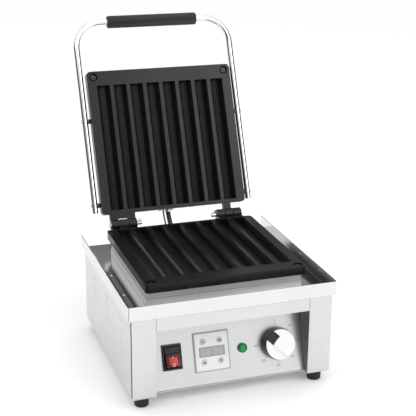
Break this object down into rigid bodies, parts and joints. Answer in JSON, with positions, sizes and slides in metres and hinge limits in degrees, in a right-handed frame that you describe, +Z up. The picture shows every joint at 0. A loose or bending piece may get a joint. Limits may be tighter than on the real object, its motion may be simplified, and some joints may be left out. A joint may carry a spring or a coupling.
{
  "type": "hinged contact grill for batter sticks and sausages",
  "caption": "Countertop twin-plate contact grill with star-fluted grooves, a hinged lid with a bow handle, a drip pan and a sloping panel with switch, timer, lamp and thermostat.",
  "frame": {"origin": "middle of the whole grill's footprint, lid open at rest, on the surface under the feet", "axes": "+X to the operator's right, +Y from the control panel to the hinge, +Z up"},
  "size_m": [0.31, 0.4318, 0.4861],
  "materials": {
    "stainless": "satin brushed stainless sheet",
    "pan_steel": "polished stainless sheet",
    "bright_steel": "bright fasteners and pins",
    "chrome": "polished",
    "cast_black": "black non-stick coated casting and blackened screws",
    "black_plastic": "fine satin",
    "rubber": "matt",
    "white_plastic": "semi-gloss",
    "grey_display": "smoked window",
    "grey_plastic": "satin",
    "silver_cap": "satin silver insert",
    "red_lens": "translucent red",
    "green_lens": "translucent green",
    "insulation": "ceramic fibre mat"
  },
  "bodies": {
    "base": {"base_plate": "stainless", "left_front_foot": "rubber", "left_rear_foot": "rubber", "right_front_foot": "rubber", "right_rear_foot": "rubber", "left_side_panel": "stainless", "right_side_panel": "stainless", "rear_panel": "stainless", "cord_gland": "black_plastic", "left_front_pillar": "stainless", "right_front_pillar": "stainless", "front_band": "stainless", "control_panel": "stainless", "timer_housing": "grey_plastic", "timer_face": "white_plastic", "timer_display": "grey_display", "switch_bezel": "black_plastic", "lamp_lens": "green_lens", "lamp_holder": "black_plastic", "thermostat_body": "stainless", "drip_pan": "pan_steel", "support_frame": "stainless", "element_housing": "stainless", "lower_insulation": "insulation", "lower_heating_element": "bright_steel", "lower_plate": "cast_black", "lower_left_screw": "cast_black", "lower_right_screw": "cast_black", "left_hinge_pin": "bright_steel", "left_cotter_pin": "bright_steel", "right_hinge_pin": "bright_steel", "right_cotter_pin": "bright_steel", "conduit_gland": "chrome", "conduit_lower": "bright_steel"},
    "lid": {"upper_plate": "cast_black", "upper_left_screw": "cast_black", "upper_right_screw": "cast_black", "lid_cover": "stainless", "upper_insulation": "insulation", "upper_heating_element": "bright_steel", "handle_tube": "chrome", "handle_grip": "black_plastic", "left_lower_spacer": "black_plastic", "left_lower_bolt": "bright_steel", "left_upper_spacer": "black_plastic", "left_upper_bolt": "bright_steel", "right_lower_spacer": "black_plastic", "right_lower_bolt": "bright_steel", "right_upper_spacer": "black_plastic", "right_upper_bolt": "bright_steel", "conduit_clamp": "chrome", "conduit_upper": "bright_steel"},
    "knob": {"thermostat_spindle": "bright_steel", "thermostat_knob": "black_plastic", "knob_cap": "silver_cap"},
    "rocker": {"switch_rocker": "red_lens"},
    "start_button": {"start_button": "white_plastic"},
    "set_button": {"set_button": "white_plastic"},
    "up_button": {"up_button": "white_plastic"},
    "down_button": {"down_button": "white_plastic"}
  },
  "joints": [
    {"name": "lid_hinge", "type": "hinge", "parent": "base", "child": "lid", "pos_m": [0, 0.06538, 0.17595], "axis": [1, 0, 0], "range_deg": [0, 113.3]},
    {"name": "thermostat_turn", "type": "hinge", "parent": "base", "child": "knob", "pos_m": [0.0748, -0.18827, 0.06137], "axis": [0, -0.9521, 0.3057], "range_deg": [-135, 135]},
    {"name": "rocker_tilt", "type": "hinge", "parent": "base", "child": "rocker", "pos_m": [-0.0853, -0.18877, 0.0631], "axis": [1, 0, 0], "range_deg": [0, 18]},
    {"name": "start_button_press", "type": "slide", "parent": "base", "child": "start_button", "axis": [0, 0.9521, -0.3057], "range_m": [0, 0.0008], "stiffness_N_per_m": 400},
    {"name": "set_button_press", "type": "slide", "parent": "base", "child": "set_button", "axis": [0, 0.9521, -0.3057], "range_m": [0, 0.0008], "stiffness_N_per_m": 400},
    {"name": "up_button_press", "type": "slide", "parent": "base", "child": "up_button", "axis": [0, 0.9521, -0.3057], "range_m": [0, 0.0008], "stiffness_N_per_m": 400},
    {"name": "down_button_press", "type": "slide", "parent": "base", "child": "down_button", "axis": [0, 0.9521, -0.3057], "range_m": [0, 0.0008], "stiffness_N_per_m": 400}
  ]
}
